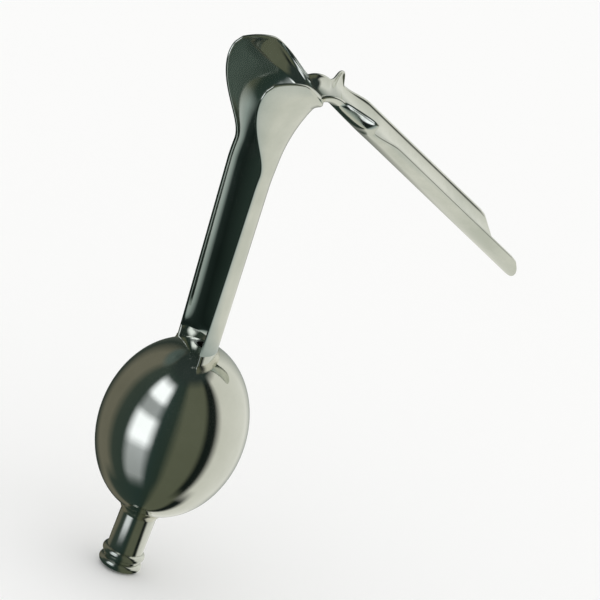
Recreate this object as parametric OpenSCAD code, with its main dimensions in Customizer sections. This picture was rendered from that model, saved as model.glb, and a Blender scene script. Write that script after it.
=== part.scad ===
// Weighted vaginal speculum: a trough blade and a gutter handle pressed from steel sheet, brazed
// together at a narrow throat, and hung with a lead filled egg that has a drain tube through it.
// The origin is under the throat, at the point that the instrument hangs from in use.
// Z points up along the handle, and X points forward over the blade.

/* [Blade] */
// Length of the blade along its floor, from the throat to the tip
blade_len = 110; // [90:1:125]
// Width of the blade across its rims, outside
blade_w = 40; // [36:1:42]
// Depth of the blade's trough, outside
blade_depth = 8.6; // [7.6:0.2:10]
// Angle between the blade and the handle
blade_angle = 56; // [52:1:70]
// Length of the rounded, open end of the blade
tip_len = 10; // [8:1:24]
// Width of the floor where it ends at the tip
tip_w = 15; // [8:1:20]
// Length from the throat's bend to the peak of the blade's two shoulders
shoulder_len = 10; // [9:0.5:14]
// Length over which the shoulders fall to the notches behind them
shoulder_fall = 3; // [3:0.5:6]
// Width of the blade across its shoulders
shoulder_w = 45; // [42:1:48]
// Depth of the trough at its shoulders
shoulder_depth = 10; // [9:0.2:12]
// Depth of the trough at the notches
notch_depth = 6.4; // [5.8:0.2:7.4]
// Length over which the walls rise again from the notches
notch_len = 14; // [10:1:20]

/* [Throat] */
// Width of the trough at the throat, if its walls were full
throat_w = 22; // [20:1:26]
// Depth of the trough at the throat, if its walls were full
throat_depth = 8; // [7:0.2:10]
// Half arc of the low walls at the throat, in degrees
throat_arc = 70; // [62:1:76]
// Radius of the tight bend under the throat
throat_r = 4; // [3.5:0.5:6]
// Turn of the sheet, from upright, at the joint of the blade and the handle
joint_turn = 66; // [60:1:72]
// Length of the brazed butt joint's filler, along the sheet
braze_gap = 0.4; // [0.3:0.1:0.8]

/* [Handle] */
// Thickness of the pressed sheet
sheet_t = 1.5; // [1:0.1:2]
// Width of the gutter where the hood begins
gutter_top_w = 33; // [30:1:36]
// Width of the gutter where it meets the weight
gutter_foot_w = 27; // [24:1:29]
// Depth of the gutter, outside
gutter_depth = 10.8; // [9:0.2:12]
// Radius of the forward sweep at the top of the gutter
sweep_r = 71; // [60:1:85]
// Turn of the forward sweep
sweep_turn = 29; // [26:1:33]
// Width of the flared hood across its two wings
hood_w = 42; // [38:1:48]
// Depth of the hood where its flare ends
hood_depth = 31; // [27:1:34]
// Turn of the sweep at which the flare ends
flare_turn = 27; // [24:1:28]
// Depth of the hood where its top edge starts to fall to the throat
crest_depth = 21; // [18:1:24]
// Turn of the sheet at which the top edge starts to fall
lip_turn = 46; // [42:1:50]
// Size of the braze fillet round the gutter's foot
foot_fillet = 1.6; // [1:0.1:2.5]

/* [Weight] */
// Width of the egg shaped weight
weight_d = 57.6; // [50:0.2:64]
// Height of the weight along its own axis
weight_h = 73.8; // [66:0.2:84]
// Distance of the weight's middle below the throat
weight_drop = 144; // [135:0.5:155]
// Lean of the weight and its spout against the handle
weight_lean = 4.5; // [0:0.5:5]
// Thickness of the spun shells
shell_t = 1.2; // [0.8:0.1:2]
// Height of the backing ring behind the seam
seam_h = 8; // [4:0.5:12]
// Thickness of the backing ring
seam_t = 0.8; // [0.5:0.1:1.5]

/* [Drain] */
// Bore of the drain tube
drain_bore = 6; // [5:0.2:6.6]
// Wall of the drain tube
drain_wall = 1; // [0.6:0.1:1.4]
// Length of the spout below the weight
spout_len = 25; // [18:0.5:30]
// Outside diameter of the spout's barrel
spout_d = 14.4; // [13:0.1:15]
// Diameter of the spout's two beads
bead_d = 17; // [16:0.1:18]
// Height of each bead
bead_h = 3.4; // [2.4:0.1:4]
// Width of the groove between the beads
bead_gap = 0.9; // [0.6:0.1:1.4]
// Diameter of the collar where the spout leaves the weight
collar_d = 18; // [16.6:0.1:19.4]
// Height of the collar below the weight's tip
collar_h = 1.6; // [1:0.1:2.4]

/* [Hidden] */

// Clearance between parts that are slid together and brazed
fit_gap = 0.05;
// Steps across half a trough, along a blend, along the hood's parts, and round a turned part
half_steps = 10;
blend_steps = 8;
lip_steps = 12;
fan_steps = 6;
hood_steps = 14;
profile_steps = 22;
$fn = 96;

blade_turn = 180 - blade_angle;
tip_cut = asin(tip_w / blade_w);
gutter_x = -sweep_r * (1 - cos(sweep_turn));
gutter_z = -sweep_r * sin(sweep_turn);
drain_r = drain_bore / 2 + drain_wall;
weight_r = weight_d / 2;
weight_c = weight_h / 2;
tube_top = weight_c * sqrt(1 - pow(drain_r / weight_r, 2));

// The drain comes out of the weight's top inside the gutter, against its floor
weight_x = gutter_x - sheet_t - drain_bore / 2 - tube_top * sin(weight_lean);

function ease(u) = u * u * (3 - 2 * u);
function mix(a, b, u) = a + (b - a) * u;

// A trough's station: floor point in X and Z, turn from upright, half width, depth and half arc
function turn_dir(t) = [sin(t), cos(t)];
function open_dir(t) = [-cos(t), sin(t)];

// Bend under the throat, as a point on its arc at turn t
function bend_point(t) = throat_r * [cos(sweep_turn) - cos(t), sin(t) - sin(sweep_turn)];
blade_start = bend_point(blade_turn);

// Floor point of the handle's sweep at turn t
function sweep_point(t) = [gutter_x + sweep_r * (1 - cos(t)), gutter_z + sweep_r * sin(t)];

// Floor point of the handle at turn t, on the sweep or on the bend above it
function handle_point(t) = t < sweep_turn ? sweep_point(t) : bend_point(t);

// Half arc of the sheet as its walls rise from the throat
function wall_cut(k) = mix(throat_arc, 90, k);

// Half arc of the sheet at distance s from the tip
function end_cut(s) = asin(mix(sin(tip_cut), 1, sqrt(1 - pow(1 - min(1, s / tip_len), 2))));

braze_turn = braze_gap / throat_r * 180 / PI;
function throat_station(t) = [bend_point(t), t, throat_w / 2, throat_depth, throat_arc];
blade_bend = [for (i = [0:blend_steps])
    throat_station(mix(joint_turn + braze_turn, blade_turn, i / blend_steps))];

function blade_point(s) = blade_start + s * turn_dir(blade_turn);

// The walls rise and spread from the throat to the shoulders
blade_rise = [for (i = [1:blend_steps])
    let (u = i / blend_steps)
    [blade_point(shoulder_len * u), blade_turn, mix(throat_w, shoulder_w, ease(u)) / 2,
        mix(throat_depth, shoulder_depth, ease(u)), wall_cut(sin(90 * u))]];

// Then they drop into the notches, and rise again to the blade's own section
blade_fall = [for (i = [1:blend_steps])
    let (u = i / blend_steps)
    [blade_point(shoulder_len + shoulder_fall * u), blade_turn, mix(shoulder_w, blade_w, ease(u)) / 2,
        mix(shoulder_depth, notch_depth, ease(u)), 90]];
blade_notch = [for (i = [1:blend_steps])
    let (u = i / blend_steps)
    [blade_point(shoulder_len + shoulder_fall + notch_len * u), blade_turn, blade_w / 2,
        mix(notch_depth, blade_depth, ease(u)), 90]];

tip_steps = 12;
blade_tip = [for (i = [0:tip_steps])
    let (s = tip_len * pow(1 - i / tip_steps, 2))
    [blade_point(blade_len - s), blade_turn, blade_w / 2, blade_depth, end_cut(s)]];

blade_stations = concat(blade_bend, blade_rise, blade_fall, blade_notch, blade_tip);

// The filler between the two pressings, in the same section
braze_stations = [for (i = [0:2]) throat_station(joint_turn + braze_turn * i / 2)];

// The hood flares over the sweep, then gets shallower over the bend: width and depth at turn t
flare_edge = 0.2;
function flare(t) = ease(max(0, min(1, (t / flare_turn - flare_edge) / (1 - flare_edge))));
function hood_a(t) = mix(gutter_top_w, hood_w, flare(t)) / 2;
function hood_d(t) = t < flare_turn ? mix(gutter_depth, hood_depth, flare(t))
    : mix(hood_depth, crest_depth, (t - flare_turn) / (lip_turn - flare_turn));

// The top edge rises from the throat's low walls to the crest
lip_power = 1.25;
lip_stations = [for (i = [0:lip_steps])
    let (t = mix(joint_turn, lip_turn, i / lip_steps), k = pow(sin(90 * i / lip_steps), lip_power))
    [handle_point(t), t, mix(throat_w / 2, hood_a(t), k), mix(throat_depth, hood_d(t), k), wall_cut(k)]];

function hood_station(t) = [handle_point(t), t, hood_a(t), hood_d(t), 90];
fan_stations = [for (i = [1:fan_steps]) hood_station(mix(lip_turn, sweep_turn, i / fan_steps))];
hood_stations = [for (i = [1:hood_steps]) hood_station(sweep_turn * (1 - i / hood_steps))];

// Height of the leaning weight's top above the point [x, y]
function seat_z(x, y) =
    let (dx = x - weight_x, s = sin(weight_lean), c = cos(weight_lean))
    let (ra = 1 / pow(weight_r, 2), rc = 1 / pow(weight_c, 2))
    let (qa = s * s * ra + c * c * rc)
    let (qb = 2 * dx * s * c * (rc - ra))
    let (qc = dx * dx * (c * c * ra + s * s * rc) + y * y * ra - 1)
    -weight_drop + (-qb + sqrt(qb * qb - 4 * qa * qc)) / (2 * qa);

// The last straight station stands this far above the weight
foot_rise = 1;
gutter_steps = 6;
foot_z = seat_z(gutter_x, 0) + foot_rise;
gutter_stations = [for (i = [1:gutter_steps])
    let (u = i / gutter_steps)
    [[gutter_x, mix(gutter_z, foot_z, u)], 0, mix(gutter_top_w, gutter_foot_w, u) / 2, gutter_depth, 90]];

handle_stations = concat(lip_stations, fan_stations, hood_stations, gutter_stations);

// Point of a station's sheet, at arc q of its half round, set in by t from the outside
function sheet_point(st, q, t) =
    let (a = st[2], d = st[3])
    let (len = sqrt(pow(d * sin(q), 2) + pow(a * cos(q), 2)))
    let (y = a * sin(q) - t * d * sin(q) / len)
    let (h = d * (1 - cos(q)) + t * a * cos(q) / len)
    let (n = open_dir(st[1]))
    [st[0][0] + h * n[0], y, st[0][1] + h * n[1]];

// Loop of points round a station's sheet: along the outside, then back along the inside
function sheet_ring(st) = concat(
    [for (i = [-half_steps:half_steps]) sheet_point(st, st[4] * i / half_steps, 0)],
    [for (i = [half_steps:-1:-half_steps]) sheet_point(st, st[4] * i / half_steps, sheet_t)]);

// The last ring of the handle, set down on the weight
foot_ring = [for (p = sheet_ring(handle_stations[len(handle_stations) - 1]))
    [p[0], p[1], seat_z(p[0], p[1])]];

// Triangles that join rings of n points each, with both ends closed by strips across the sheet
function skin_faces(count, n) = concat(
    [for (j = [0:count - 2]) for (i = [0:n - 1])
        let (a = j * n + i, b = j * n + (i + 1) % n)
        each [[a, b, b + n], [a, b + n, a + n]]],
    [for (i = [0:n / 2 - 2]) each [[i, n - 1 - i, n - 2 - i], [i, n - 2 - i, i + 1]]],
    [for (i = [0:n / 2 - 2])
        let (o = (count - 1) * n)
        each [[o + i, o + n - 2 - i, o + n - 1 - i], [o + i, o + i + 1, o + n - 2 - i]]]);

module skin(rings) {
    polyhedron(points = [for (r = rings) each r],
        faces = skin_faces(len(rings), len(rings[0])), convexity = 6);
}

// Half outline of the weight's egg, set in by t, between two heights, with the axis as its edge
function egg_x(z, t) = (weight_r - t) * sqrt(max(0, 1 - pow(z / (weight_c - t), 2)));
function egg_line(z0, z1, t) = [for (i = [0:profile_steps])
    let (q0 = asin(z0 / (weight_c - t)), q1 = asin(z1 / (weight_c - t)))
    let (z = (weight_c - t) * sin(mix(q0, q1, i / profile_steps)))
    [egg_x(z, t), z]];

module egg_solid(z0, z1, t) {
    rotate_extrude() polygon(concat([[0, z0]], egg_line(z0, z1, t), [[0, z1]]));
}

module at_weight() {
    translate([weight_x, 0, -weight_drop]) rotate([0, weight_lean, 0]) children();
}

module drain_hole(r) {
    cylinder(h = 2 * weight_h, r = r, center = true);
}

module half_shell(low, high) {
    at_weight() difference() {
        egg_solid(low, high, 0);
        egg_solid(max(low, shell_t - weight_c), min(high, weight_c - shell_t), shell_t);
        drain_hole(drain_r + fit_gap);
    }
}

module blade() {
    color("silver") skin([for (st = blade_stations) sheet_ring(st)]);
}

module handle() {
    color("silver") skin(concat([for (st = handle_stations) sheet_ring(st)], [foot_ring]));
}

module throat_braze() {
    color("gainsboro") skin([for (st = braze_stations) sheet_ring(st)]);
}

// Hollow of the fillet's face, as a part of its size
fillet_waist = 0.3;

// Fillet along the outside of the gutter's foot, on the weight
module foot_braze() {
    st = handle_stations[len(handle_stations) - 1];
    function out_dir(q) = let (v = [st[2] * cos(q), st[3] * sin(q)]) v / norm(v);
    function fillet_ring(q) =
        let (p = sheet_point(st, q, 0), n = out_dir(q) * foot_fillet, z = seat_z(p[0], p[1]))
        [[p[0], p[1], z],
            [p[0] + n[0], p[1] + n[1], seat_z(p[0] + n[0], p[1] + n[1])],
            [p[0] + n[0] * fillet_waist, p[1] + n[1] * fillet_waist, z + foot_fillet * fillet_waist],
            [p[0], p[1], z + foot_fillet]];
    color("gainsboro") skin([for (i = [-half_steps:half_steps]) fillet_ring(90 * i / half_steps)]);
}

module upper_shell() {
    color("lightgray") half_shell(0, weight_c);
}

module lower_shell() {
    color("lightgray") half_shell(-weight_c, 0);
}

module seam_ring() {
    color("gray") at_weight() rotate_extrude() polygon(concat(
        egg_line(-seam_h / 2, seam_h / 2, shell_t),
        [for (p = egg_line(seam_h / 2, -seam_h / 2, shell_t)) [p[0] - seam_t, p[1]]]));
}

module lead_core() {
    top = weight_c - shell_t;
    color("dimgray") at_weight() difference() {
        egg_solid(-top, top, shell_t);
        difference() {
            cylinder(h = seam_h, r = weight_r, center = true);
            cylinder(h = seam_h, r = egg_x(seam_h / 2, shell_t) - seam_t, center = true);
        }
        drain_hole(drain_r + fit_gap);
    }
}

// Solid left above the weight's tip, before the weight itself is cut out of it
seat_over = weight_c / 4;
spout_top = -weight_c;
spout_end = spout_top - spout_len;

module drain_tube() {
    color("lightsteelblue") at_weight() difference() {
        translate([0, 0, spout_end]) cylinder(h = tube_top - spout_end, r = drain_r);
        drain_hole(drain_bore / 2);
    }
}

module spout_collar() {
    color("gainsboro") at_weight() difference() {
        translate([0, 0, spout_top - collar_h])
            cylinder(h = collar_h + seat_over, r1 = collar_d / 2 - collar_h / 2, r2 = collar_d / 2);
        egg_solid(-weight_c, weight_c, 0);
        drain_hole(spout_d / 2);
    }
}

// One rounded bead of the spout, from height z upwards
module bead(z) {
    bead_round = bead_h / 2;
    translate([0, 0, z + bead_round]) rotate_extrude()
        translate([bead_d / 2 - bead_round, 0]) circle(r = bead_round);
    translate([0, 0, z]) cylinder(h = bead_h, r = bead_d / 2 - bead_round);
}

module spout() {
    color("silver") at_weight() difference() {
        union() {
            translate([0, 0, spout_end]) cylinder(h = spout_len + seat_over, r = spout_d / 2);
            bead(spout_end);
            bead(spout_end + bead_h + bead_gap);
        }
        egg_solid(-weight_c, weight_c, 0);
        drain_hole(drain_r + fit_gap);
    }
}

blade();
handle();
throat_braze();
foot_braze();
upper_shell();
lower_shell();
seam_ring();
lead_core();
drain_tube();
spout_collar();
spout();
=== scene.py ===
from math import sin, cos, asin, hypot, pi, radians, sqrt

import bmesh
import bpy
from mathutils import Matrix, Vector


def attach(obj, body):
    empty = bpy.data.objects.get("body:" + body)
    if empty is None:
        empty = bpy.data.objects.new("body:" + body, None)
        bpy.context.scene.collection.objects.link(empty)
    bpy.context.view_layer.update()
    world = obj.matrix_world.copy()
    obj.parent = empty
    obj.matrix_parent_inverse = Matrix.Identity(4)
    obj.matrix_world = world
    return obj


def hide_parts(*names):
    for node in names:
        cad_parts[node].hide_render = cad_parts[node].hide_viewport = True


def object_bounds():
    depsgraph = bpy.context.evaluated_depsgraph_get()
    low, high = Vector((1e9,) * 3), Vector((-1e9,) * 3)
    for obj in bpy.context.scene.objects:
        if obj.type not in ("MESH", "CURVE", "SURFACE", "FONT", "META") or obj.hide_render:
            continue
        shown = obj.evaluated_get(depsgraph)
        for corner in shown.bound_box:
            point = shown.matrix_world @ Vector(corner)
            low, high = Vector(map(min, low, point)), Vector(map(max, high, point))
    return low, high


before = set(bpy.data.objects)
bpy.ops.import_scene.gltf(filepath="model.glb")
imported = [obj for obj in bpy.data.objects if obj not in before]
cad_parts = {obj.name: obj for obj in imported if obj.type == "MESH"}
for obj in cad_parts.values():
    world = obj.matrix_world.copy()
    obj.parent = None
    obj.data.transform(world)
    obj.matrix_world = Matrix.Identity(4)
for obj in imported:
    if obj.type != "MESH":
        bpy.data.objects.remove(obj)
cadBox = [list(corner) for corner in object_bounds()]
print("frame loaded")

# sizes in millimetres and degrees, as in the part's source; the origin is under the throat
sheet = {"thick": 1.5, "across": 56, "rimSteps": 8, "endSteps": 6}
throat = {"width": 22, "depth": 8, "arc": 70, "radius": 4, "jointTurn": 66, "brazeGap": 0.4,
          "brazeSteps": 3}
rimHalf = sheet["thick"] / 2
sharpAngle = radians(38)
weldDistance = 1e-6


def mix(a, b, u):
    return a + (b - a) * u


def ease(u):
    return u * u * (3 - 2 * u)


def floorDir(turn):
    return Vector((sin(turn), 0, cos(turn)))


# a station is one cross section of a pressed trough
def station(floorPoint, turn, halfWidth, depth, halfArc):
    return {"at": floorPoint, "turn": turn, "a": halfWidth, "d": depth, "arc": halfArc}


def sheetPoint(st, q, inward):
    speed = hypot(st["d"] * sin(q), st["a"] * cos(q))
    y = st["a"] * sin(q) - inward * st["d"] * sin(q) / speed
    h = st["d"] * (1 - cos(q)) + inward * st["a"] * cos(q) / speed
    return st["at"] + Vector((-h * cos(st["turn"]), y, h * sin(st["turn"])))


# the loop round one section, with half round rims; inset thins it towards a rounded end
def sheetRing(st, inset=0.0):
    rim = rimHalf - inset
    q = st["arc"]
    speed = hypot(st["d"] * sin(q), st["a"] * cos(q))
    flat = q - rimHalf / speed
    loop = [(mix(-flat, flat, i / sheet["across"]), rimHalf - rim) for i in range(sheet["across"] + 1)]
    for i in range(1, sheet["rimSteps"]):
        w = pi * i / sheet["rimSteps"]
        loop.append((q - (rimHalf - rim * sin(w)) / speed, rimHalf - rim * cos(w)))
    loop += [(-u, 2 * rimHalf - t) for u, t in loop]
    return [sheetPoint(st, u, t) for u, t in loop]


# a finished mesh: normals outwards, smooth but for its sharp edges, and in the scene
def placePiece(name, mesh, work):
    bmesh.ops.recalc_face_normals(work, faces=work.faces)
    work.to_mesh(mesh)
    work.free()
    mesh.shade_smooth()
    mesh.set_sharp_from_angle(angle=sharpAngle)
    piece = bpy.data.objects.new(name, mesh)
    bpy.context.collection.objects.link(piece)
    return piece


# rings of points joined into one closed skin
def skinPiece(name, rings, material):
    count = len(rings[0])
    points = [p for ring in rings for p in ring]
    faces = []
    for j in range(len(rings) - 1):
        for i in range(count):
            a, b = j * count + i, j * count + (i + 1) % count
            faces.append((a, b, b + count, a + count))
    faces.append(tuple(range(count)))
    faces.append(tuple(reversed(range(len(points) - count, len(points)))))
    mesh = bpy.data.meshes.new(name)
    mesh.from_pydata([p / 1000 for p in points], [], faces)
    mesh.materials.append(material)
    work = bmesh.new()
    work.from_mesh(mesh)
    bmesh.ops.remove_doubles(work, verts=work.verts, dist=weldDistance)
    return placePiece(name, mesh, work)


def addNode(tree, kind, settings=None, **links):
    node = tree.nodes.new(kind)
    for key, value in (settings or {}).items():
        setattr(node, key, value)
    for key, value in links.items():
        socket = node.inputs[int(key[1:])] if key[0] == "_" else node.inputs[key.replace("_", " ")]
        if isinstance(value, bpy.types.NodeSocket):
            tree.links.new(value, socket)
        else:
            socket.default_value = value
    return node


def linear(hexText):
    values = [int(hexText[i:i + 2], 16) / 255 for i in (1, 3, 5)]
    return tuple(v / 12.92 if v <= 0.04045 else ((v + 0.055) / 1.055) ** 2.4 for v in values) + (1.0,)


# what every finish shares: the noises' detail, where haze turns to stain and to gloss, and the bumps
polish = {"grainDetail": 4.0, "grainRough": 0.6, "waveDetail": 1.0, "waveRough": 0.4,
          "hazeDetail": 5.0, "hazeRough": 0.55, "hazeSize": 1.7, "stainSpan": (0.35, 0.62),
          "glossSpan": (0.12, 0.42), "waveBump": 0.5, "grainBump": 0.25, "grainHeight": 0.02}


# sizes are those of one feature in millimetres; stretch lengthens the grain along an axis
def metalFinish(name, tone, mottle, rough, waveSize, waveHeight, grainSize, stretch, turn=0.0):
    material = bpy.data.materials.new(name)
    material.use_nodes = True
    tree = material.node_tree
    tree.nodes.clear()
    place = addNode(tree, "ShaderNodeTexCoord").outputs["Object"]
    along = addNode(tree, "ShaderNodeMapping", Vector=place, Rotation=(0, turn, 0),
                    Scale=(1, 1, 1 / stretch)).outputs[0]
    grain = addNode(tree, "ShaderNodeTexNoise", Vector=along, Scale=1000 / grainSize,
                    Detail=polish["grainDetail"], Roughness=polish["grainRough"]).outputs["Fac"]
    wave = addNode(tree, "ShaderNodeTexNoise", Vector=place, Scale=1000 / waveSize,
                   Detail=polish["waveDetail"], Roughness=polish["waveRough"]).outputs["Fac"]
    haze = addNode(tree, "ShaderNodeTexNoise", Vector=place, Scale=1000 / (waveSize * polish["hazeSize"]),
                   Detail=polish["hazeDetail"], Roughness=polish["hazeRough"]).outputs["Fac"]
    stain = addNode(tree, "ShaderNodeValToRGB", Fac=haze)
    for stop, position, colour in zip(stain.color_ramp.elements, polish["stainSpan"], (mottle, tone)):
        stop.position = position
        stop.color = linear(colour)
    blend = addNode(tree, "ShaderNodeMath", {"operation": "MULTIPLY"}, _0=haze, _1=grain).outputs[0]
    gloss = addNode(tree, "ShaderNodeMapRange", Value=blend, From_Min=polish["glossSpan"][0],
                    From_Max=polish["glossSpan"][1], To_Min=rough[0], To_Max=rough[1]).outputs[0]
    soft = addNode(tree, "ShaderNodeBump", Height=wave, Strength=polish["waveBump"],
                   Distance=waveHeight / 1000).outputs["Normal"]
    fine = addNode(tree, "ShaderNodeBump", Height=grain, Normal=soft, Strength=polish["grainBump"],
                   Distance=polish["grainHeight"] / 1000).outputs["Normal"]
    shader = addNode(tree, "ShaderNodeBsdfPrincipled", Metallic=1.0, Base_Color=stain.outputs["Color"],
                     Roughness=gloss, Normal=fine)
    addNode(tree, "ShaderNodeOutputMaterial", Surface=shader.outputs["BSDF"])
    return material


# stainless sheet, pressed, then polished by hand on a buff: mirror gloss over a slow ripple
polishedSheet = metalFinish("polishedStainlessSheet", "#E6E8E2", "#D3D7D0", (0.05, 0.13), 16, 0.05, 0.9, 14)
polishedBlade = metalFinish("polishedStainlessBlade", "#E6E8E2", "#D3D7D0", (0.05, 0.14), 13, 0.06, 0.9, 14,
                            radians(57))
# stainless, spun over a former and buffed as it turns: smoother, with faint haze
spunShell = metalFinish("spunStainlessShell", "#E9EAE4", "#D9DBD3", (0.05, 0.11), 26, 0.04, 0.8, 1)
# stainless bar, turned and polished
turnedSteel = metalFinish("turnedStainless", "#E2E4DE", "#CDD1CA", (0.07, 0.15), 12, 0.02, 0.5, 1)
# silver solder, filed flush and polished: a little warmer and softer than the steel
silverBraze = metalFinish("silverSolder", "#DCDCCF", "#BDBDAE", (0.12, 0.24), 5, 0.08, 0.7, 1)
# stainless tube, drawn: dull lengthwise lines
drawnTube = metalFinish("drawnStainlessTube", "#B9BCB8", "#8E928E", (0.22, 0.38), 8, 0.03, 0.6, 12)
# lead, poured: dark and matt with a skin of oxide
castLead = metalFinish("castLead", "#6A6D72", "#4A4D52", (0.45, 0.65), 9, 0.3, 1.2, 1)
print("finishes made")

# the blade and the handle, each pressed from one sheet
blade = {"length": 110, "width": 40, "depth": 8.6, "angle": 56, "tipLength": 10, "tipWidth": 15,
         "shoulderLength": 10, "shoulderFall": 3, "shoulderWidth": 45, "shoulderDepth": 10,
         "notchLength": 14, "notchDepth": 6.4, "bendSteps": 24, "shoulderSteps": 32, "fallSteps": 16,
         "notchSteps": 24, "troughSteps": 24, "tipSteps": 40}
handle = {"topWidth": 33, "footWidth": 27, "depth": 10.8, "sweepRadius": 71, "sweepTurn": 29,
          "hoodWidth": 42, "hoodDepth": 31, "flareTurn": 27, "flareEdge": 0.2, "crestDepth": 21,
          "lipTurn": 46, "lipPower": 1.25, "footRise": 1, "lipSteps": 48, "bendSteps": 24,
          "sweepSteps": 60, "gutterSteps": 32}

sweepTurn = radians(handle["sweepTurn"])
bladeTurn = radians(180 - blade["angle"])
jointTurn = radians(throat["jointTurn"])
lipTurn = radians(handle["lipTurn"])
flareTurn = radians(handle["flareTurn"])
brazeTurn = throat["brazeGap"] / throat["radius"]
throatArc = radians(throat["arc"])
tipSine = blade["tipWidth"] / blade["width"]
gutterX = -handle["sweepRadius"] * (1 - cos(sweepTurn))
gutterZ = -handle["sweepRadius"] * sin(sweepTurn)


def bendPoint(turn):
    return throat["radius"] * Vector((cos(sweepTurn) - cos(turn), 0, sin(turn) - sin(sweepTurn)))


def sweepPoint(turn):
    return Vector((gutterX + handle["sweepRadius"] * (1 - cos(turn)), 0,
                   gutterZ + handle["sweepRadius"] * sin(turn)))


def handlePoint(turn):
    return sweepPoint(turn) if turn < sweepTurn else bendPoint(turn)


# half arc near the tip, so that the open end is rounded in plan
def endArc(way):
    return asin(mix(tipSine, 1, sqrt(1 - (1 - min(1, way / blade["tipLength"])) ** 2)))


def bladeStation(way, width, depth, arc):
    return station(bendPoint(bladeTurn) + way * floorDir(bladeTurn), bladeTurn, width / 2, depth, arc)


def bendStation(turn):
    return station(bendPoint(turn), turn, throat["width"] / 2, throat["depth"], throatArc)


# rings between two distances along the blade, after the first; shape gives width, depth and half arc
def bladeRun(start, end, steps, shape):
    return [sheetRing(bladeStation(mix(start, end, i / steps), *shape(i / steps)))
            for i in range(1, steps + 1)]


def shoulderShape(u):
    return (mix(throat["width"], blade["shoulderWidth"], ease(u)),
            mix(throat["depth"], blade["shoulderDepth"], ease(u)), mix(throatArc, pi / 2, sin(pi / 2 * u)))


def fallShape(u):
    return (mix(blade["shoulderWidth"], blade["width"], ease(u)),
            mix(blade["shoulderDepth"], blade["notchDepth"], ease(u)), pi / 2)


def notchShape(u):
    return blade["width"], mix(blade["notchDepth"], blade["depth"], ease(u)), pi / 2


def troughShape(u):
    return blade["width"], blade["depth"], pi / 2


# the blade from its throat: up to the shoulders, down into the notches, then its plain trough
notchStart = blade["shoulderLength"] + blade["shoulderFall"]
plainStart = notchStart + blade["notchLength"]
plainEnd = blade["length"] - blade["tipLength"]
bladeRings = [sheetRing(bendStation(mix(jointTurn + brazeTurn, bladeTurn, i / blade["bendSteps"])))
              for i in range(blade["bendSteps"] + 1)]
bladeRings += bladeRun(0, blade["shoulderLength"], blade["shoulderSteps"], shoulderShape)
bladeRings += bladeRun(blade["shoulderLength"], notchStart, blade["fallSteps"], fallShape)
bladeRings += bladeRun(notchStart, plainStart, blade["notchSteps"], notchShape)
bladeRings += bladeRun(plainStart, plainEnd, blade["troughSteps"], troughShape)[:-1]
for i in range(blade["tipSteps"] + 1):
    way = (blade["tipLength"] - rimHalf) * (1 - i / blade["tipSteps"]) ** 2
    bladeRings.append(sheetRing(bladeStation(blade["length"] - rimHalf - way, blade["width"], blade["depth"],
                                             endArc(way))))
for i in range(1, sheet["endSteps"]):
    w = pi / 2 * i / sheet["endSteps"]
    bladeRings.append(sheetRing(bladeStation(blade["length"] - rimHalf * (1 - sin(w)), blade["width"],
                                             blade["depth"], endArc(0)), rimHalf * (1 - cos(w))))
bladePiece = skinPiece("bladeSheet", bladeRings, polishedBlade)
print("blade made")

weight = {"width": 57.6, "height": 73.8, "drop": 144, "lean": 4.5, "shell": 1.2, "around": 192,
          "outerSteps": 90, "innerSteps": 45}
drain = {"bore": 6, "wall": 1, "fit": 0.05}
lean = radians(weight["lean"])
drainRadius = drain["bore"] / 2 + drain["wall"]
halfHeight = weight["height"] / 2
halfWidth = weight["width"] / 2
tubeTop = halfHeight * sqrt(1 - (drainRadius / halfWidth) ** 2)
weightX = gutterX - sheet["thick"] - drain["bore"] / 2 - tubeTop * sin(lean)
atWeight = Matrix.Translation((weightX / 1000, 0, -weight["drop"] / 1000)) @ Matrix.Rotation(lean, 4, "Y")


# height of the leaning weight's top above a point
def seatZ(x, y):
    dx, s, c = x - weightX, sin(lean), cos(lean)
    ra, rc = 1 / halfWidth ** 2, 1 / halfHeight ** 2
    qa = s * s * ra + c * c * rc
    qb = 2 * dx * s * c * (rc - ra)
    qc = dx * dx * (c * c * ra + s * s * rc) + y * y * ra - 1
    return -weight["drop"] + (-qb + sqrt(qb * qb - 4 * qa * qc)) / (2 * qa)


# the hood flares over the sweep, then gets shallower over the bend
def hoodSize(turn):
    edge = handle["flareEdge"]
    flare = ease(max(0, min(1, (turn / flareTurn - edge) / (1 - edge))))
    width = mix(handle["topWidth"], handle["hoodWidth"], flare) / 2
    if turn < flareTurn:
        return width, mix(handle["depth"], handle["hoodDepth"], flare)
    return width, mix(handle["hoodDepth"], handle["crestDepth"], (turn - flareTurn) / (lipTurn - flareTurn))


def hoodRing(turn):
    width, depth = hoodSize(turn)
    return sheetRing(station(handlePoint(turn), turn, width, depth, pi / 2))


# the handle from its throat: the lip's rise, the bend, the sweep, then the gutter down to the weight
handleRings = []
for i in range(handle["lipSteps"] + 1):
    turn = mix(jointTurn, lipTurn, i / handle["lipSteps"])
    width, depth = hoodSize(turn)
    rise = sin(pi / 2 * i / handle["lipSteps"]) ** handle["lipPower"]
    handleRings.append(sheetRing(station(handlePoint(turn), turn, mix(throat["width"] / 2, width, rise),
                                         mix(throat["depth"], depth, rise), mix(throatArc, pi / 2, rise))))
handleRings += [hoodRing(mix(lipTurn, sweepTurn, i / handle["bendSteps"]))
                for i in range(1, handle["bendSteps"] + 1)]
handleRings += [hoodRing(sweepTurn * (1 - i / handle["sweepSteps"]))
                for i in range(1, handle["sweepSteps"] + 1)]
footZ = seatZ(gutterX, 0) + handle["footRise"]
for i in range(1, handle["gutterSteps"] + 1):
    u = i / handle["gutterSteps"]
    foot = station(Vector((gutterX, 0, mix(gutterZ, footZ, u))), 0,
                   mix(handle["topWidth"], handle["footWidth"], u) / 2, handle["depth"], pi / 2)
    handleRings.append(sheetRing(foot))
handleRings.append([Vector((p.x, p.y, seatZ(p.x, p.y))) for p in handleRings[-1]])
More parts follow.
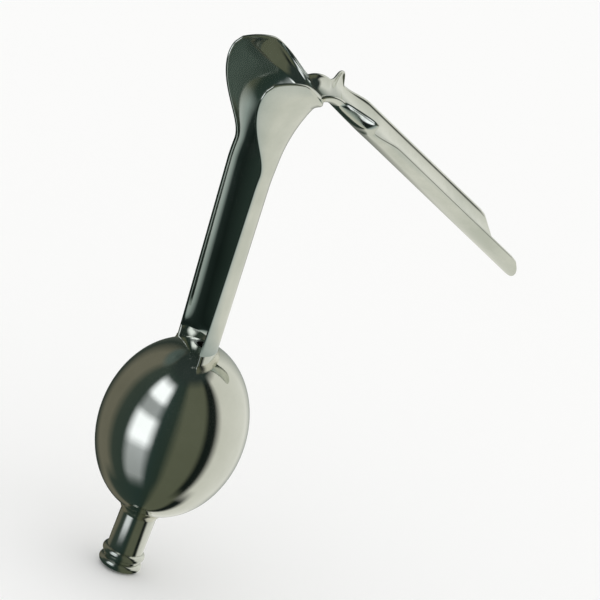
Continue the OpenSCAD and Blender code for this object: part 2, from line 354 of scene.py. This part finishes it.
handlePiece = skinPiece("gutterHandle", handleRings, polishedSheet)

brazeRings = [sheetRing(bendStation(jointTurn + brazeTurn * i / throat["brazeSteps"]))
              for i in range(throat["brazeSteps"] + 1)]
throatPiece = skinPiece("throatSolder", brazeRings, silverBraze)
print("handle made")

# the fillet of solder round the gutter's last section, its foot
fillet = {"size": 1.6, "around": 60, "round": 8}


def filletRing(q):
    out = Vector((foot["a"] * cos(q), foot["d"] * sin(q), 0)).normalized()
    wall = sheetPoint(foot, q, 0)
    ring = [Vector((wall.x, wall.y, seatZ(wall.x, wall.y)))]
    for i in range(fillet["round"] + 1):
        w = pi / 2 * i / fillet["round"]
        p = wall + out * fillet["size"] * (1 - sin(w))
        ring.append(Vector((p.x, p.y, seatZ(p.x, p.y) + fillet["size"] * (1 - cos(w)))))
    return ring


footPiece = skinPiece("footSolder", [filletRing(mix(-pi / 2, pi / 2, i / fillet["around"]))
                                     for i in range(fillet["around"] + 1)], silverBraze)
print("foot fillet made")


# one tree turns a profile about Z, for all the turned parts
def turningTree():
    tree = bpy.data.node_groups.new("turnedProfile", "GeometryNodeTree")
    face = tree.interface
    for name, kind in (("Profile", "NodeSocketGeometry"), ("Profile Points", "NodeSocketInt"),
                       ("Steps Around", "NodeSocketInt"), ("Weld Distance", "NodeSocketFloat"),
                       ("Finish", "NodeSocketMaterial")):
        face.new_socket(name, in_out="INPUT", socket_type=kind)
    face.new_socket("Geometry", in_out="OUTPUT", socket_type="NodeSocketGeometry")
    ins = addNode(tree, "NodeGroupInput").outputs

    def maths(operation, a, b=0.0):
        return addNode(tree, "ShaderNodeMath", {"operation": operation}, _0=a, _1=b).outputs[0]

    across = maths("SUBTRACT", ins["Profile Points"], 1.0)
    rows = maths("ADD", ins["Steps Around"], 1.0)
    grid = addNode(tree, "GeometryNodeMeshGrid", Size_X=across, Size_Y=ins["Steps Around"],
                   Vertices_X=ins["Profile Points"], Vertices_Y=rows).outputs["Mesh"]
    here = addNode(tree, "ShaderNodeSeparateXYZ",
                   Vector=addNode(tree, "GeometryNodeInputPosition").outputs[0]).outputs
    column = maths("ROUND", maths("ADD", here["X"], maths("MULTIPLY", across, 0.5)))
    row = maths("ADD", here["Y"], maths("MULTIPLY", ins["Steps Around"], 0.5))
    angle = maths("MULTIPLY", maths("DIVIDE", row, ins["Steps Around"]), 2 * pi)
    sample = addNode(tree, "GeometryNodeSampleIndex", {"data_type": "FLOAT_VECTOR"},
                     Geometry=ins["Profile"], Index=column,
                     Value=addNode(tree, "GeometryNodeInputPosition").outputs[0]).outputs[0]
    edge = addNode(tree, "ShaderNodeSeparateXYZ", Vector=sample).outputs
    turned = addNode(tree, "ShaderNodeCombineXYZ", X=maths("MULTIPLY", edge["X"], maths("COSINE", angle)),
                     Y=maths("MULTIPLY", edge["X"], maths("SINE", angle)), Z=edge["Z"]).outputs[0]
    placed = addNode(tree, "GeometryNodeSetPosition", Geometry=grid, Position=turned).outputs[0]
    welded = addNode(tree, "GeometryNodeMergeByDistance", Geometry=placed,
                     Distance=ins["Weld Distance"]).outputs[0]
    real = addNode(tree, "GeometryNodeRealizeInstances", Geometry=welded).outputs[0]
    done = addNode(tree, "GeometryNodeSetMaterial", Geometry=real, Material=ins["Finish"]).outputs[0]
    addNode(tree, "NodeGroupOutput", Geometry=done)
    return tree


turning = turningTree()


# a profile of radius and height turned about the weight's leaning axis
def turnedPiece(name, profile, material, around):
    mesh = bpy.data.meshes.new(name + "Profile")
    mesh.from_pydata([(r / 1000, 0, z / 1000) for r, z in profile],
                     [(i, i + 1) for i in range(len(profile) - 1)], [])
    blank = bpy.data.objects.new(name + "Blank", mesh)
    bpy.context.collection.objects.link(blank)
    lathe = blank.modifiers.new("lathe", "NODES")
    lathe.node_group = turning
    sockets = {s.name: s.identifier for s in turning.interface.items_tree if s.in_out == "INPUT"}
    for key, value in (("Profile Points", len(profile)), ("Steps Around", around),
                       ("Weld Distance", weldDistance), ("Finish", material)):
        lathe[sockets[key]] = value
    bpy.context.view_layer.update()
    seen = blank.evaluated_get(bpy.context.evaluated_depsgraph_get())
    result = bpy.data.meshes.new_from_object(seen)
    bpy.data.objects.remove(blank)
    work = bmesh.new()
    work.from_mesh(result)
    bmesh.ops.transform(work, matrix=atWeight, verts=work.verts)
    return placePiece(name, result, work)


# points on the weight's outline between two heights, set in by a wall's thickness
def eggArc(z0, z1, inset, steps):
    tall, wide = halfHeight - inset, halfWidth - inset
    q0, q1 = asin(z0 / tall), asin(z1 / tall)
    return [(wide * cos(mix(q0, q1, i / steps)), tall * sin(mix(q0, q1, i / steps)))
            for i in range(steps + 1)]


# one half of the weight's shell, above the seam or below it, with a hole for the drain's tube
def shellProfile(side):
    hole = drainRadius + drain["fit"]
    outerEnd = side * halfHeight * sqrt(1 - (hole / halfWidth) ** 2)
    innerEnd = side * (halfHeight - weight["shell"]) * sqrt(1 - (hole / (halfWidth - weight["shell"])) ** 2)
    outside = eggArc(0, outerEnd, 0, weight["outerSteps"])
    inside = eggArc(innerEnd, 0, weight["shell"], weight["innerSteps"])
    return outside + inside + [outside[0]]


upperPiece = turnedPiece("upperShell", shellProfile(1), spunShell, weight["around"])
lowerPiece = turnedPiece("lowerShell", shellProfile(-1), spunShell, weight["around"])
print("weight made")

# the spout with its two beads, and the collar of solder at its root
spout = {"length": 25, "width": 14.4, "beadWidth": 17, "beadHeight": 3.4, "beadGap": 0.9,
         "collarWidth": 18, "collarHeight": 1.6, "collarHollow": 0.4, "around": 128, "beadSteps": 20,
         "wallSteps": 12}
spoutEnd = -halfHeight - spout["length"]
barrel = spout["width"] / 2


def eggUnder(radius):
    return -halfHeight * sqrt(1 - (radius / halfWidth) ** 2)


def beadArc(z):
    half = spout["beadHeight"] / 2
    reach = spout["beadWidth"] / 2 - half
    return [(reach + half * cos(w), z + half + half * sin(w))
            for w in (mix(-pi / 2, pi / 2, i / spout["beadSteps"]) for i in range(spout["beadSteps"] + 1))]


boreRadius = drainRadius + drain["fit"]
upperBead = spoutEnd + spout["beadHeight"] + spout["beadGap"]
beadTop = upperBead + spout["beadHeight"]
spoutProfile = [(boreRadius, spoutEnd)] + beadArc(spoutEnd)
spoutProfile += [(barrel, spoutEnd + spout["beadHeight"]), (barrel, upperBead)] + beadArc(upperBead)
spoutProfile += [(barrel, mix(beadTop, eggUnder(barrel), i / spout["wallSteps"]))
                 for i in range(spout["wallSteps"] + 1)]
spoutProfile += [(boreRadius, eggUnder(boreRadius)), (boreRadius, spoutEnd)]
spoutPiece = turnedPiece("drainSpout", spoutProfile, turnedSteel, spout["around"])

collarRadius = spout["collarWidth"] / 2
collarZ = -halfHeight - spout["collarHeight"]
collarProfile = [(barrel, collarZ)]
for i in range(spout["wallSteps"] + 1):
    u = i / spout["wallSteps"]
    collarProfile.append((mix(barrel, collarRadius, mix(u, sin(pi / 2 * u) ** 2, spout["collarHollow"])),
                          mix(collarZ, eggUnder(collarRadius), u)))
collarProfile += [(barrel, eggUnder(barrel)), (barrel, collarZ)]
collarPiece = turnedPiece("spoutCollar", collarProfile, silverBraze, spout["around"])
print("spout made")

# which node each piece stands for; the nodes inside the weight keep their own shape
for piece, nodes, slot in (
        (bladePiece, ["blade"], "polished_steel"), (handlePiece, ["handle"], "polished_steel"),
        (throatPiece, ["throat_braze"], "silver_braze"), (footPiece, ["foot_braze"], "silver_braze"),
        (upperPiece, ["upper_shell"], "polished_steel"), (lowerPiece, ["lower_shell"], "polished_steel"),
        (spoutPiece, ["spout"], "polished_steel"), (collarPiece, ["spout_collar"], "silver_braze")):
    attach(piece, "root")
    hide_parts(*nodes)
for name, finish in (("drain_tube", drawnTube), ("seam_ring", drawnTube), ("lead_core", castLead)):
    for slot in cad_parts[name].material_slots:
        slot.material = finish
print("pieces placed")

# the camera at the photo's angle, in degrees and metres, with its sensor in millimetres; across and up
# are how far its aim lies from the weight's middle
camera = {"turn": 25, "rise": 24, "roll": 17.1, "distance": 4, "frameWidth": 0.2308, "sensor": 36,
          "across": 0.03265, "up": 0.0611}
turn, rise, roll = (radians(camera[key]) for key in ("turn", "rise", "roll"))
right = Vector((cos(turn), -sin(turn), 0))
upward = Vector((sin(turn) * sin(rise), cos(turn) * sin(rise), cos(rise)))
toCamera = Vector((-sin(turn) * cos(rise), -cos(turn) * cos(rise), sin(rise)))
toFront = Vector((-sin(turn), -cos(turn), 0))
aim = atWeight.translation + camera["across"] * right + camera["up"] * upward
lens = bpy.data.cameras.new("camera")
lens.sensor_width = camera["sensor"]
lens.lens = camera["sensor"] * camera["distance"] / camera["frameWidth"]
viewer = bpy.data.objects.new("camera", lens)
imageX = cos(roll) * right + sin(roll) * upward
imageY = -sin(roll) * right + cos(roll) * upward
viewer.matrix_world = Matrix.Translation(aim + camera["distance"] * toCamera) @ Matrix(
    (imageX, imageY, toCamera)).transposed().to_4x4()
bpy.context.collection.objects.link(viewer)
bpy.context.scene.camera = viewer
print("camera set")

# a plain pale floor under the lowest point; the steel mirrors the painted reflections, not the floor
ground = {"half": 3, "tone": "#FBFBFA", "rough": 0.9}
low = cadBox[0][2]
floorMesh = bpy.data.meshes.new("floor")
floorMesh.from_pydata([(x * ground["half"], y * ground["half"], low)
                       for x, y in ((-1, -1), (1, -1), (1, 1), (-1, 1))], [], [(0, 1, 2, 3)])
floor = bpy.data.objects.new("floor", floorMesh)
bpy.context.collection.objects.link(floor)
pale = bpy.data.materials.new("paleFloor")
pale.use_nodes = True
paleInputs = pale.node_tree.nodes["Principled BSDF"].inputs
paleInputs["Base Color"].default_value = linear(ground["tone"])
paleInputs["Roughness"].default_value = ground["rough"]
paleInputs["Specular IOR Level"].default_value = 0.0
floorMesh.materials.append(pale)
floor.visible_glossy = False
print("floor made")

# painted reflections, which only the polished steel's mirror rays see. Bands are tones by heading, as shares
# of a turn that starts behind the object and goes by the left, the camera's side and the right. The softbox
# and its panes are a painted highlight by heading and by height, a little brighter than white; a painted dark
# top takes over at the top. The hood's and the handle's painted reflection tones are for the discs below,
# also by heading
paintedStudio = {"bands": ((0.0, "#5A5F58"), (0.06, "#2F3833"), (0.13, "#6E6C5E"), (0.20, "#6E6C5E"),
                    (0.25, "#3A443D"), (0.31, "#34403A"), (0.45, "#2B3A36"), (0.50, "#2B3831"),
                    (0.54, "#5C604F"), (0.635, "#5C604F"), (0.66, "#161D1A"), (0.69, "#1A211E"),
                    (0.725, "#D9D9D0"), (0.90, "#E9E9E2"), (1.0, "#7C857F")),
          "paintedSoftbox": ((0.305, "#000000"), (0.345, "#FFFFFF"), (0.41, "#FFFFFF"), (0.45, "#000000")),
          "panes": ((0.03, "#303030"), (0.10, "#8A8A8A"), (0.30, "#9E9E9E"), (0.38, "#FFFFFF"),
                    (0.54, "#FFFFFF"), (0.60, "#8E8E8E"), (0.69, "#8E8E8E"), (0.74, "#FFFFFF"),
                    (0.84, "#FFFFFF"), (0.91, "#000000")),
          "paintedHighlightTone": (1.22, 1.27, 1.32, 1),
          "darkTop": ((0.90, "#000000"), (0.96, "#FFFFFF")),
          "darkTopTone": "#2C3633",
          "hoodReflectionTones": ((0.0, "#414D49"), (0.5, "#56635E"), (1.0, "#414D49")),
          "handleReflectionTones": ((0.0, "#2B3831"), (0.22, "#27332E"), (0.36, "#161F1C"), (0.445, "#222C29"),
                          (0.50, "#8F9B97"), (0.575, "#B9C0BC"), (0.70, "#DADAD0"), (0.90, "#DADAD0"),
                          (1.0, "#2B3831"))}
# the painted reflection discs: where their glow fades out towards the rim, their segments, and their lift
# above the floor
reflectionDisc = {"fade": 0.6, "segments": 64, "lift": 0.0002}


# share of that turn at which a direction lies
def headingShare(tree, direction):
    sides = [addNode(tree, "ShaderNodeVectorMath", {"operation": "DOT_PRODUCT"}, _0=direction,
                     _1=axis).outputs["Value"] for axis in (right, toFront)]
    angle = addNode(tree, "ShaderNodeMath", {"operation": "ARCTAN2"}, _0=sides[0], _1=sides[1]).outputs[0]
    return addNode(tree, "ShaderNodeMapRange", Value=angle, From_Min=-pi, From_Max=pi).outputs[0]


def toneRamp(tree, share, stops):
    node = addNode(tree, "ShaderNodeValToRGB", Fac=share)
    ramp = node.color_ramp
    ramp.elements.remove(ramp.elements[0])
    for i, (position, tone) in enumerate(stops):
        stop = ramp.elements[0] if i == 0 else ramp.elements.new(position)
        stop.position = position
        stop.color = linear(tone)
    return node.outputs["Color"]


# a glowing disc that paints a reflection: it shows only in reflections and only from its front, so that what
# is behind doesn't mirror it
def paintedReflectionDisc(name, centre, radius, tones, facing):
    mesh = bpy.data.meshes.new(name)
    work = bmesh.new()
    bmesh.ops.create_circle(work, cap_ends=True, segments=reflectionDisc["segments"], radius=radius)
    work.to_mesh(mesh)
    work.free()
    disc = bpy.data.objects.new(name, mesh)
    disc.location = centre
    if facing:
        disc.rotation_euler = facing.to_track_quat("Z", "Y").to_euler()
    bpy.context.collection.objects.link(disc)
    disc.visible_camera = disc.visible_diffuse = disc.visible_shadow = False
    material = bpy.data.materials.new(name)
    material.use_nodes = True
    tree = material.node_tree
    tree.nodes.clear()
    place = addNode(tree, "ShaderNodeTexCoord").outputs["Object"]
    share = headingShare(tree, place)
    glow = addNode(tree, "ShaderNodeEmission", Color=toneRamp(tree, share, tones), Strength=1.0)
    clear = addNode(tree, "ShaderNodeBsdfTransparent")
    reach = addNode(tree, "ShaderNodeVectorMath", {"operation": "LENGTH"}, _0=place).outputs["Value"]
    edge = addNode(tree, "ShaderNodeMapRange", Value=reach, From_Min=reflectionDisc["fade"] * radius,
                   From_Max=radius).outputs[0]
    behind = addNode(tree, "ShaderNodeNewGeometry").outputs["Backfacing"]
    hidden = addNode(tree, "ShaderNodeMath", {"operation": "MAXIMUM"}, _0=edge, _1=behind).outputs[0]
    surface = addNode(tree, "ShaderNodeMixShader", _0=hidden, _1=glow.outputs[0], _2=clear.outputs[0])
    addNode(tree, "ShaderNodeOutputMaterial", Surface=surface.outputs[0])
    mesh.materials.append(material)


# each painted reflection disc: centre and radius in metres, and the way a standing one faces; one that lies
# flat has none
for name, centre, radius, tones, facing in (
        ("handlePaintedReflection", (-0.013, 0.010, -0.106), 0.6, paintedStudio["handleReflectionTones"], None),
        ("spoutPaintedReflection", (-0.021, 0, low + reflectionDisc["lift"]), 0.065, paintedStudio["bands"], None),
        ("hoodPaintedReflection", (-0.066, 0.060, 0.009), 0.06, paintedStudio["hoodReflectionTones"], Vector((0.546, -0.84, 0)))):
    paintedReflectionDisc(name, centre, radius, tones, facing)

# the world is white light, but glossy rays see painted reflections: the bands, a painted softbox highlight
# and a painted dark top
world = bpy.data.worlds.new("paintedStudio")
bpy.context.scene.world = world
world.use_nodes = True
tree = world.node_tree
tree.nodes.clear()
heading = addNode(tree, "ShaderNodeTexCoord").outputs["Generated"]
share = headingShare(tree, heading)
climb = addNode(tree, "ShaderNodeSeparateXYZ", Vector=heading).outputs["Z"]
height = addNode(tree, "ShaderNodeMapRange", Value=climb, From_Min=-1.0, From_Max=1.0).outputs[0]
# painted highlight: the softbox's panes, seen only in reflections
paintedHighlight = addNode(tree, "ShaderNodeMath", {"operation": "MULTIPLY"}, _0=toneRamp(tree, share, paintedStudio["paintedSoftbox"]),
               _1=toneRamp(tree, height, paintedStudio["panes"])).outputs[0]
mirrored = addNode(tree, "ShaderNodeMix", {"data_type": "RGBA"}, _0=paintedHighlight,
                   _6=toneRamp(tree, share, paintedStudio["bands"]), _7=paintedStudio["paintedHighlightTone"]).outputs[2]
mirrored = addNode(tree, "ShaderNodeMix", {"data_type": "RGBA"}, _0=toneRamp(tree, height, paintedStudio["darkTop"]),
                   _6=mirrored, _7=linear(paintedStudio["darkTopTone"])).outputs[2]
shiny = addNode(tree, "ShaderNodeLightPath").outputs["Is Glossy Ray"]
seenTone = addNode(tree, "ShaderNodeMix", {"data_type": "RGBA"}, _0=shiny, _6=(1, 1, 1, 1),
                   _7=mirrored).outputs[2]
backdrop = addNode(tree, "ShaderNodeBackground", Color=seenTone, Strength=1.0)
addNode(tree, "ShaderNodeOutputWorld", Surface=backdrop.outputs[0])

bpy.context.scene.view_settings.view_transform = "Standard"
print("studio made")
